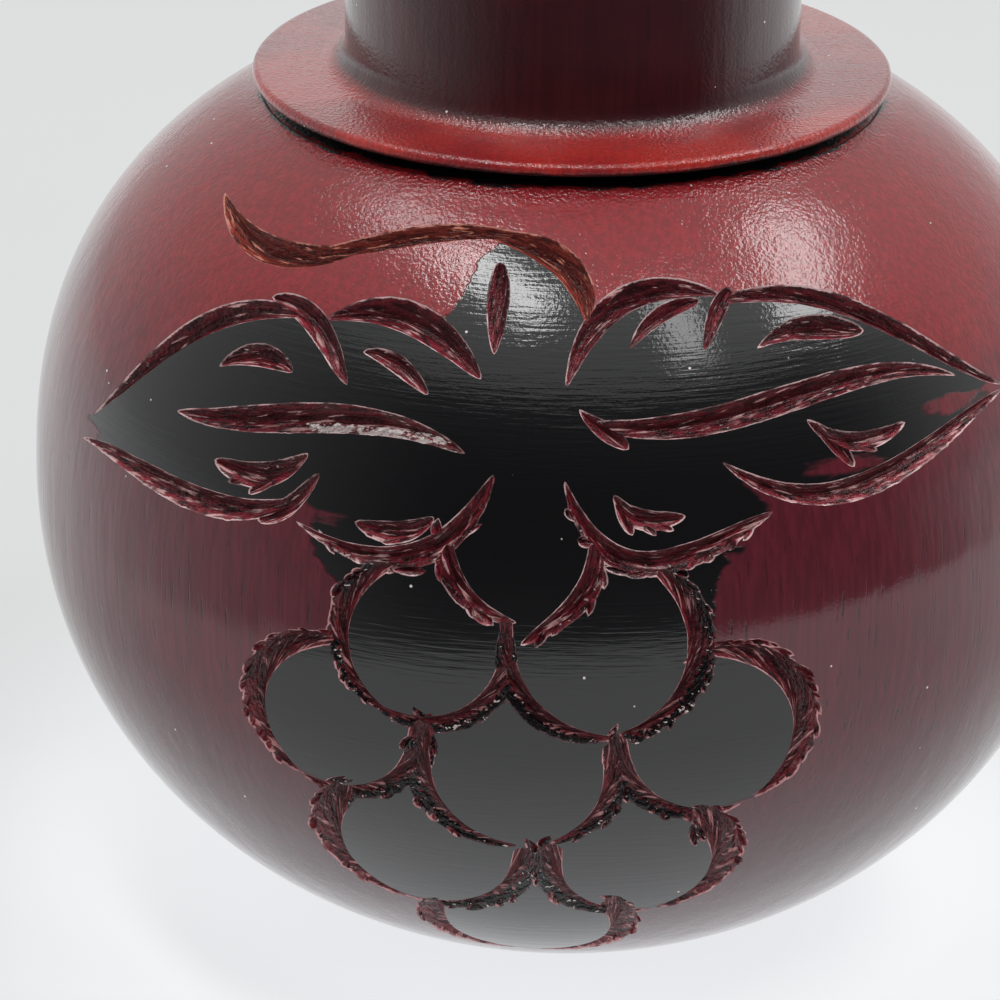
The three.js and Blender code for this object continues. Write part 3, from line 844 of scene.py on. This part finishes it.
def turnedWood():
    # Bare turned hardwood inside: dull red-brown with faint tool rings.
    t = turned
    finish, tree, shader, where = newFinish("turnedWood")
    grain = addNode(tree, "MapRange", (streaks(tree, where, t["grainSize"], 3), *t["grain"]), **smooth)
    setInputs(tree, shader, {
        "Base Color": layered(tree, linear(t["dark"]), [(grain, linear(t["pale"]))]),
        "Normal": relief(tree, [(streaks(tree, where, t["ringSize"]), t["ringHeight"])]),
        "Roughness": t["roughness"],
    })
    return finish


# The stage, in metres and degrees

stage = dict(
    floorSize=3, floorColour="#a9a9a8", mottleColour="#808080", mottleSize=(60, 60, 60),
    mottle=(0.3, 0.7, 0, 0.03), floorRoughness=0.7,
    # the glow around the bottle is a painted pool of light that fills in the bottle's shadow on the floor
    floorGlow="#f3f5f8", near=(0.02, 0.11, 0.84, 0.29),  # brighter around the bottle
    front=(-0.02, -0.16, 1, 1.85), aside=(0.1, 0.2, 1, 1.85),  # and again in front and at the sides
    worldColour="#f1f2f2", worldStrength=0.74, aim=(0, 0, 0.05),
)
card = dict(
    centre=(0.035, 0, 0), whiteRadius=0.18, whiteFade=0.03, reach=1.6, height=1.5, lift=0.002,
    first=-120, last=108, fade=(98, 50), colour="#0b0b0c", steps=60,
)
lamps = [
    dict(name="leftFront", place=(-0.18, -0.23, 1.0), heading=-59, size=(0.14, 0.42), power=2.3),
    dict(name="leftBack", place=(-0.36, 0.12, 1.0), heading=-59, size=(0.11, 0.4), power=0.9),
    dict(name="middle", place=(0.36, -0.4, 1.0), heading=-59, size=(0.14, 0.4), power=0.9),
    dict(name="rightBox", place=(0.68, 0.05, 1.0), heading=-59, size=(0.22, 0.66), power=3.9),
    dict(name="backPanel", place=(0, 1.2, 0.5), heading=0, size=(0.5, 0.9), power=0.9),
]
view = dict(
    place=(0, -0.58597, 0.28788), pitch=22.43976, yaw=-0.72450, roll=-0.64226,
    lens=200, sensor=36, clip=(0.05, 20),
)


def lightTable():
    # White plastic sheet lit from below, a little brighter around the bottle.
    # White plastic sheet that glows all over, with a painted pool of light around the bottle that fills in
    # its shadow, and more glow in front and at the sides.
    s = stage
    finish, tree, shader, where = newFinish("lightTable")
    mottle = addNode(tree, "MapRange", (streaks(tree, where, s["mottleSize"]), *s["mottle"]), **smooth)
    flat = addNode(tree, "VectorMath", (where,), "Value", operation="LENGTH")
    along = addNode(tree, "SeparateXYZ", (where,), "Y")
    across = addNode(tree, "Math", (along.node.outputs["X"],), operation="ABSOLUTE")
    front = addNode(tree, "MapRange", (along, *s["front"]), **smooth)
    aside = addNode(tree, "MapRange", (across, *s["aside"]), **smooth)
    fillGlow = addNode(tree, "Math", (
        addNode(tree, "MapRange", (flat, *s["near"]), **smooth),
        addNode(tree, "Math", (front, aside), **most)), **times)
    setInputs(tree, shader, {
        "Base Color": layered(tree, linear(s["floorColour"]), [(mottle, linear(s["mottleColour"]))]),
        "Emission Color": linear(s["floorGlow"]), "Emission Strength": fillGlow,
        "Roughness": s["floorRoughness"],
    })
    return finish


def layFloor():
    bm = bmesh.new()
    bmesh.ops.create_grid(bm, x_segments=1, y_segments=1, size=stage["floorSize"])
    floor = asObject(bm, "floor", [lightTable()])


def blackFelt():
    # Black felt that fades out at both ends of the card and towards the bottle.
    finish, tree, shader, where = newFinish("blackFelt")
    away = addNode(tree, "VectorMath", (where, card["centre"]), operation="SUBTRACT")
    across = addNode(tree, "SeparateXYZ", (away,), "X")
    near = addNode(tree, "Math", (across.node.outputs["Y"], -1), **times)
    turn = addNode(tree, "Math", (across, near), operation="ARCTAN2")
    first, last = math.radians(card["first"]), math.radians(card["last"])
    left, right = (math.radians(fade) for fade in card["fade"])
    ends = addNode(tree, "Math", (
        addNode(tree, "MapRange", (turn, first, first + left), **smooth),
        addNode(tree, "MapRange", (turn, last, last - right), **smooth)), **times)
    flat = addNode(tree, "VectorMath", (away,), "Value", operation="LENGTH")
    beyond = addNode(tree, "MapRange", (flat, card["whiteRadius"], card["whiteRadius"] + card["whiteFade"]),
                     **smooth)
    setInputs(tree, shader, {
        "Base Color": linear(card["colour"]), "Roughness": 1, "Specular IOR Level": 0,
        "Alpha": addNode(tree, "Math", (ends, beyond), **times),
    })
    return finish


def standDarkCard():
    # a dark sheet in front, seen only in the gloss, as the dark side of a room is
    bm = bmesh.new()
    start = math.radians(card["first"] - 90)
    points = [(card["whiteRadius"], card["lift"]), (card["reach"], card["lift"]),
              (card["reach"], card["height"])]
    line = [bm.verts.new((r * math.cos(start), r * math.sin(start), z)) for r, z in points]
    edges = [bm.edges.new(pair) for pair in zip(line, line[1:])]
    bmesh.ops.spin(bm, geom=line + edges, cent=(0, 0, 0), axis=(0, 0, 1),
                   angle=math.radians(card["last"] - card["first"]), steps=card["steps"])
    bmesh.ops.translate(bm, verts=bm.verts, vec=card["centre"])
    sheet = asObject(bm, "darkCard", [blackFelt()])
    sheet.visible_camera = sheet.visible_diffuse = sheet.visible_shadow = False


def hangLamps():
    world = bpy.data.worlds.new("softRoom")
    world.use_nodes = True
    sky = world.node_tree.nodes["Background"]
    sky.inputs["Color"].default_value = linear(stage["worldColour"])
    sky.inputs["Strength"].default_value = stage["worldStrength"]
    bpy.context.scene.world = world
    for lamp in lamps:
        light = bpy.data.lights.new(lamp["name"], "AREA")
        light.shape = "RECTANGLE"
        light.size, light.size_y = lamp["size"]
        light.energy = lamp["power"]
        made = bpy.data.objects.new(lamp["name"], light)
        place = Vector(lamp["place"])
        back = (place - Vector(stage["aim"])).normalized()
        heading = math.radians(lamp["heading"])
        across = Vector((math.cos(heading), math.sin(heading), 0)).cross(back).normalized()
        turn = Matrix((across, back.cross(across), back)).transposed()
        made.matrix_world = Matrix.LocRotScale(place, turn, None)
        bpy.context.scene.collection.objects.link(made)


def setCamera():
    data = bpy.data.cameras.new("camera")
    data.lens, data.sensor_width = view["lens"], view["sensor"]
    data.clip_start, data.clip_end = view["clip"]
    camera = bpy.data.objects.new("camera", data)
    aim = Euler((math.radians(90 - view["pitch"]), 0, math.radians(-view["yaw"]))).to_matrix()
    camera.rotation_euler = (aim @ Matrix.Rotation(math.radians(-view["roll"]), 3, "Z")).to_euler()
    camera.location = view["place"]
    bpy.context.scene.collection.objects.link(camera)
    bpy.context.scene.camera = camera


random.seed(11)
setCamera()
hangLamps()
layFloor()
standDarkCard()
bpy.context.scene.view_settings.view_transform = "Standard"
print("stage set")

# dark, middle and pale wood, the colour of the pale rim (partly broken lacquer, partly painted highlight),
# how much paint it takes and the slant of its fibres
finishes = [
    tintedLacquer(), turnedWood(),
    gougedWood("gougedTendril", "#3f110f", "#9e3a2c", "#d88a74", "#cf8c7e", 0, 2),
    gougedWood("gougedLeaf", "#2f090e", "#882230", "#d3a3a2", "#dab8b8", 0.5, 3),
    gougedWood("gougedGrape", "#2c080e", "#6e1c26", "#bd8384", "#cb9598", 1, 12),
]
skin, insideWood, tendrilWood, leafWood, grapeWood = range(len(finishes))
piece = turnBottle()
print("turned", len(piece.data.polygons))
carve(piece)
print("carved", len(piece.data.polygons))
finishMesh(piece)
print("finished", sum(len(p.vertices) - 2 for p in piece.data.polygons), "triangles")
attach(piece, "root")
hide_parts("gourd_bottle")
